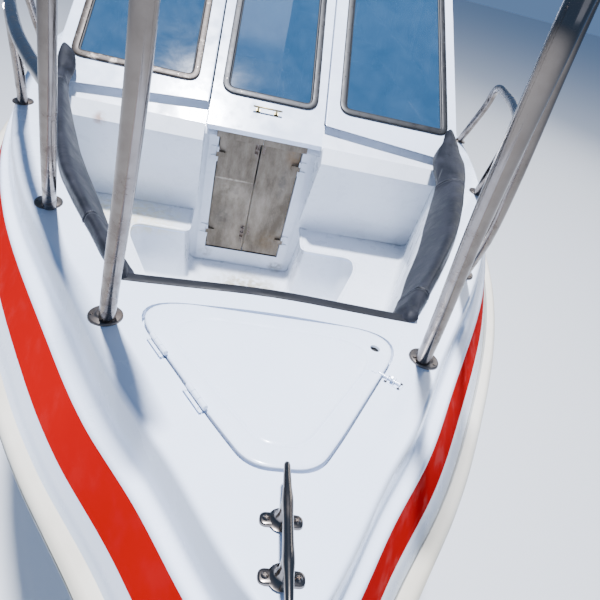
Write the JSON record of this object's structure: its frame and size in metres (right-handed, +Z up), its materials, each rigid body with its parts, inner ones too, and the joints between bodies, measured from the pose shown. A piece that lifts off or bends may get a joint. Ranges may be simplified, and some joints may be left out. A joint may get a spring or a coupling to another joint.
{
  "type": "passenger speedboat",
  "caption": "Passenger speedboat with a bow well, raked opening windscreen, long glazed cabin, bow rails and a tilting, steering outboard motor.",
  "frame": {"origin": "on the centreline at the waterline, about amidships", "axes": "+Z up, -Y towards the bow, +X to port"},
  "size_m": [2.721, 8.488, 2.9741],
  "materials": {
    "gelcoat_white": "glossy white gelcoat over laminate",
    "rail_cream": "aged cream rubbing strake",
    "vinyl_charcoal": "grained charcoal vinyl",
    "stainless": "weathered polished stainless tube",
    "frame_bronze": "bronze anodised, worn",
    "frame_black": "black anodised with a rubber seal",
    "door_metal": "bare sheet, mottled and stained",
    "tinted_glass": "blue-grey tint, dusty",
    "sole_grey": "non-slip paint",
    "seat_vinyl": "dark padded vinyl",
    "black_plastic": "moulded black",
    "motor_alloy": "dark grey marine paint",
    "motor_cowl": "gloss dark cowl",
    "propeller_alloy": "painted cast blades"
  },
  "bodies": {
    "root": {"hull": "gelcoat_white", "deck": "gelcoat_white", "rub_rail": "rail_cream", "well_liner": "gelcoat_white", "bulkhead": "gelcoat_white", "coaming_pad_port": "vinyl_charcoal", "coaming_pad_starboard": "vinyl_charcoal", "bow_rail_port": "stainless", "bow_rail_starboard": "stainless", "bow_cleat": "stainless", "stern_cleat_port": "stainless", "stern_cleat_starboard": "stainless", "windscreen_port": "gelcoat_white", "windscreen_starboard": "gelcoat_white", "screen_header": "gelcoat_white", "window_frame_port": "frame_black", "window_frame_starboard": "frame_bronze", "window_glass_port": "tinted_glass", "window_glass_starboard": "tinted_glass", "cabin_side_port": "gelcoat_white", "cabin_side_starboard": "gelcoat_white", "side_glass_port": "tinted_glass", "side_glass_starboard": "tinted_glass", "roof": "gelcoat_white", "cabin_back": "gelcoat_white", "sole": "sole_grey", "helm_console": "gelcoat_white", "motor_bracket": "motor_alloy", "seat_row_1_port": "seat_vinyl", "seat_row_1_starboard": "seat_vinyl", "seat_row_2_port": "seat_vinyl", "seat_row_2_starboard": "seat_vinyl", "seat_row_3_port": "seat_vinyl", "seat_row_3_starboard": "seat_vinyl", "seat_row_4_port": "seat_vinyl", "seat_row_4_starboard": "seat_vinyl"},
    "hatch": {"hatch_lid": "gelcoat_white"},
    "door_leaf_port": {"door_port": "door_metal"},
    "door_leaf_starboard": {"door_starboard": "door_metal"},
    "centre_screen": {"windscreen_centre": "gelcoat_white", "window_frame_centre": "frame_bronze", "window_glass_centre": "tinted_glass"},
    "wheel": {"steering_wheel": "black_plastic"},
    "motor_tilt": {"motor_swivel": "motor_alloy"},
    "motor_steer": {"motor_leg": "motor_alloy", "motor_cowl": "motor_cowl"},
    "prop": {"propeller": "propeller_alloy"}
  },
  "joints": [
    {"name": "hatch_hinge", "type": "hinge", "parent": "root", "child": "hatch", "pos_m": [-0.26323, -3.2634, 1.19605], "axis": [0.5088, -0.8493, 0.1405], "range_deg": [0, 90]},
    {"name": "door_port_hinge", "type": "hinge", "parent": "root", "child": "door_leaf_port", "pos_m": [0.219, -1.468, 0.635], "axis": [0, 0, 1], "range_deg": [0, 90]},
    {"name": "door_starboard_hinge", "type": "hinge", "parent": "root", "child": "door_leaf_starboard", "pos_m": [-0.219, -1.468, 0.635], "axis": [0, 0, -1], "range_deg": [0, 90]},
    {"name": "centre_screen_hinge", "type": "hinge", "parent": "root", "child": "centre_screen", "pos_m": [0, -0.53877, 1.8584], "axis": [-1, 0, 0], "range_deg": [0, 60]},
    {"name": "wheel_turn", "type": "hinge", "parent": "root", "child": "wheel", "pos_m": [-0.61, -0.985, 1.06], "axis": [0, 0.866, 0.5], "range_deg": [-540, 540]},
    {"name": "motor_tilt_pin", "type": "hinge", "parent": "root", "child": "motor_tilt", "pos_m": [0, 3.88, 0.4], "axis": [1, 0, 0], "range_deg": [0, 65]},
    {"name": "motor_steer_pin", "type": "hinge", "parent": "motor_tilt", "child": "motor_steer", "pos_m": [0, 3.93, 0], "axis": [0, 0, 1], "range_deg": [-30, 30]},
    {"name": "prop_spin", "type": "hinge", "parent": "motor_steer", "child": "prop", "pos_m": [0, 4.33, -0.62], "axis": [0, 1, 0], "continuous": true}
  ],
  "couplings": [
    {"joint": "wheel_turn", "follows": "motor_steer_pin", "ratio": -18}
  ]
}
